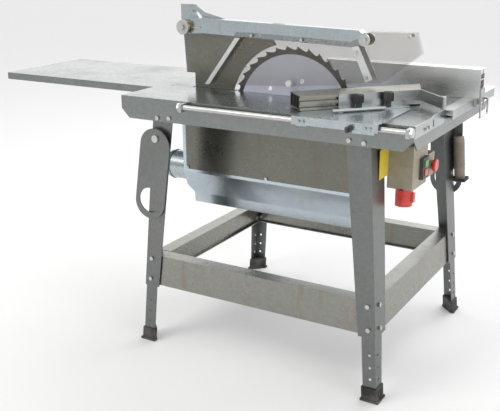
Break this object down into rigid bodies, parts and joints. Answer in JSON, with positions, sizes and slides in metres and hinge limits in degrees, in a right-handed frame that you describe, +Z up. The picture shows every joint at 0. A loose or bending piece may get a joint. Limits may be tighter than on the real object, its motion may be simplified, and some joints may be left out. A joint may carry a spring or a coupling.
{
  "type": "builder's table saw",
  "caption": "Galvanised construction-site table saw with outfeed table, sprung blade guard, mitre fence on a rod-guided carriage, parallel fence, chip box, motor and carry handles.",
  "frame": {"origin": "on the floor, at the middle of the front-right foot's sole", "axes": "+X to the operator's end, -X to the outfeed, -Y to the long side with the slide rail, +Z up"},
  "size_m": [1.753, 0.8248, 1.124],
  "materials": {
    "aluminium": "mill finish extrusion",
    "beige_plastic": "light beige",
    "black_plastic": "matt black",
    "blade_steel": "printed lavender-grey body",
    "brass": "yellow zinc",
    "clear": "clear polycarbonate",
    "galvanised": "dull spangled galvanised sheet",
    "green": "green",
    "motor_grey": "grey enamel",
    "nylon": "white",
    "red": "signal red",
    "rubber": "matt black",
    "tan": "ribbed tan grey",
    "yellow": "yellow enamel",
    "zinc": "bright zinc plated"
  },
  "bodies": {
    "base": {"table_top": "galvanised", "table_insert": "galvanised", "outfeed_table": "galvanised", "outfeed_supports": "galvanised", "legs": "galvanised", "foot_angles": "galvanised", "rubber_feet": "rubber", "rails": "galvanised", "frame_bolts": "zinc", "chip_casing": "galvanised", "chip_cover": "galvanised", "extraction_port": "galvanised", "motor_housing": "motor_grey", "motor_stator": "motor_grey", "motor_fan_cover": "black_plastic", "terminal_box": "motor_grey", "riving_knife": "zinc", "knife_clamp": "zinc", "arm_pivot": "zinc", "torsion_spring": "brass", "stop_leaf": "zinc", "slide_rod": "zinc", "rod_mounts": "zinc", "end_plate": "zinc", "guide_rail": "zinc", "handle_pivots": "zinc", "switch_bracket": "galvanised", "switch_box": "beige_plastic", "switch_frame": "black_plastic", "mains_inlet": "red", "warning_plate": "yellow"},
    "blade": {"rotor_shaft": "zinc", "motor_fan": "black_plastic", "blade_flanges": "zinc", "arbor_nut": "zinc", "saw_blade": "blade_steel"},
    "guard": {"guard_arm": "galvanised", "sector_plate": "zinc", "guard_hood": "clear", "hood_straps": "zinc", "hood_bolts": "zinc", "nylon_nuts": "nylon"},
    "carriage": {"carriage_plate": "zinc", "carriage_blocks": "zinc"},
    "carriage_screw": {"carriage_knob": "black_plastic"},
    "mitre": {"mitre_bracket": "zinc"},
    "profile": {"mitre_profile": "aluminium"},
    "mitre_screw": {"mitre_knob": "black_plastic"},
    "pivot_screw": {"star_knob": "black_plastic"},
    "fence": {"fence_profile": "aluminium", "fence_clamp": "galvanised"},
    "bail": {"fence_lever": "zinc"},
    "rail_screw": {"rail_knob": "black_plastic"},
    "left_handle": {"handle_left": "galvanised"},
    "right_handle": {"handle_right": "galvanised", "tool_tube": "tan", "tool_strap": "black_plastic"},
    "start": {"start_button": "green"},
    "stop": {"stop_button": "red"},
    "estop": {"estop_button": "red"}
  },
  "joints": [
    {"name": "blade_spin", "type": "hinge", "parent": "base", "child": "blade", "pos_m": [-0.41348, 0.25324, 0.784], "axis": [0, 1, 0], "continuous": true},
    {"name": "guard_lift", "type": "hinge", "parent": "base", "child": "guard", "pos_m": [-0.81648, 0.25324, 1.052], "axis": [0, -1, 0], "range_deg": [0, 60]},
    {"name": "carriage_slide", "type": "slide", "parent": "base", "child": "carriage", "axis": [1, 0, 0], "range_m": [-0.008, 0.07]},
    {"name": "carriage_clamp", "type": "hinge", "parent": "carriage", "child": "carriage_screw", "pos_m": [-0.08748, -0.04476, 0.835], "axis": [0, 1, 0], "range_deg": [0, 90]},
    {"name": "mitre_swivel", "type": "hinge", "parent": "carriage", "child": "mitre", "pos_m": [-0.07187, 0.2078, 0.857], "axis": [0, 0, 1], "range_deg": [0, 43.7]},
    {"name": "profile_slide", "type": "slide", "parent": "mitre", "child": "profile", "axis": [0.6909, 0.723, 0], "range_m": [-0.15, 0]},
    {"name": "mitre_clamp", "type": "hinge", "parent": "mitre", "child": "mitre_screw", "pos_m": [-0.13606, 0.13774, 0.87], "axis": [0, 0, 1], "range_deg": [0, 180]},
    {"name": "pivot_clamp", "type": "hinge", "parent": "mitre", "child": "pivot_screw", "pos_m": [-0.07187, 0.2078, 0.87], "axis": [0, 0, 1], "range_deg": [0, 180]},
    {"name": "fence_slide", "type": "slide", "parent": "base", "child": "fence", "axis": [0, 1, 0], "range_m": [-0.065, 0.17]},
    {"name": "fence_release", "type": "hinge", "parent": "fence", "child": "bail", "pos_m": [0.13452, 0.49624, 0.8433], "axis": [0, -1, 0], "range_deg": [0, 80]},
    {"name": "rail_clamp", "type": "hinge", "parent": "base", "child": "rail_screw", "pos_m": [0.09752, 0.34224, 0.83], "axis": [0, 0, 1], "range_deg": [0, 180]},
    {"name": "handle_left_swing", "type": "hinge", "parent": "base", "child": "left_handle", "pos_m": [-0.77448, -0.00776, 0.723], "axis": [0, 1, 0], "range_deg": [-20, 80]},
    {"name": "handle_right_swing", "type": "hinge", "parent": "base", "child": "right_handle", "pos_m": [-0.06048, 0.74824, 0.723], "axis": [0, -1, 0], "range_deg": [0, 60]},
    {"name": "start_press", "type": "slide", "parent": "base", "child": "start", "axis": [-1, 0, 0], "range_m": [0, 0.004], "stiffness_N_per_m": 500},
    {"name": "stop_press", "type": "slide", "parent": "base", "child": "stop", "axis": [-1, 0, 0], "range_m": [0, 0.004], "stiffness_N_per_m": 500},
    {"name": "estop_press", "type": "slide", "parent": "base", "child": "estop", "axis": [-1, 0, 0], "range_m": [0, 0.004], "stiffness_N_per_m": 800}
  ]
}
